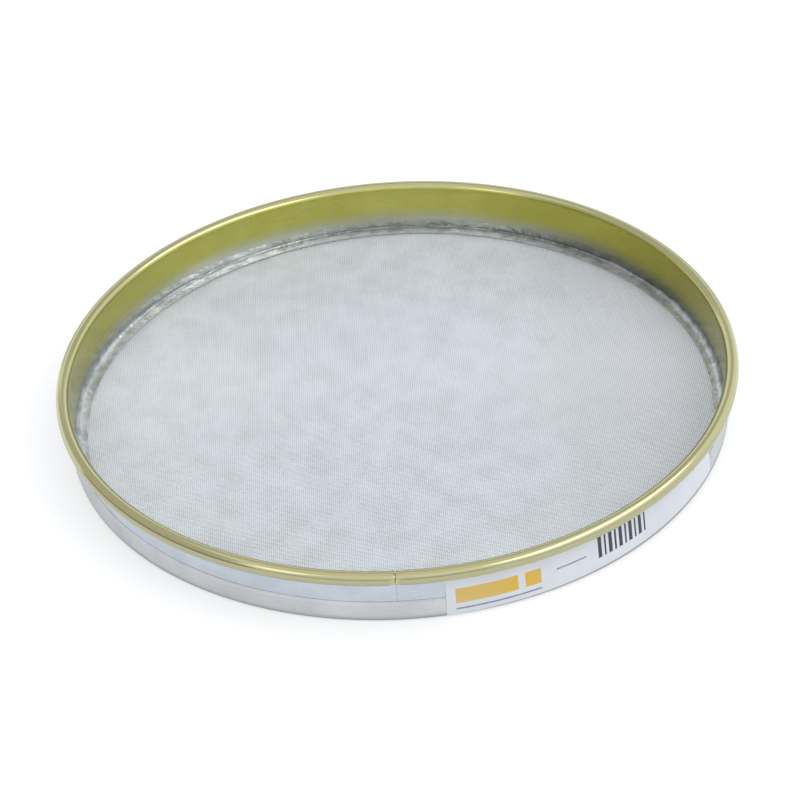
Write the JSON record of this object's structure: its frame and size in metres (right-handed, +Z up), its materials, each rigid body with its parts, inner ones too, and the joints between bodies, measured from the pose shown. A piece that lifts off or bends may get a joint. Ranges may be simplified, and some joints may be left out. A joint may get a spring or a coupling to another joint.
{
  "type": "round hand sieve",
  "caption": "Shallow round hand sieve: a lacquered tinplate hoop with a wired rim, a woven wire cloth across the bottom and a retaining ring.",
  "frame": {"origin": "on the floor under the middle of the sieve", "axes": "+Z up out of the sieve's mouth, -Y to the front, where the hoop's seam is, and +X to the right of the front"},
  "size_m": [0.3, 0.3, 0.026],
  "materials": {
    "gold_lacquer": "gloss gold lacquer on tinplate, bright tin on the outside of the wall",
    "tinplate": "bright tinplate",
    "galvanised_wire": "dull galvanised",
    "label_paper": null
  },
  "bodies": {
    "root": {"hoop": "gold_lacquer", "rim_wire": "galvanised_wire", "wire_cloth": "galvanised_wire", "cloth_margin": "galvanised_wire", "retaining_ring": "tinplate", "label": "label_paper"}
  },
  "joints": []
}
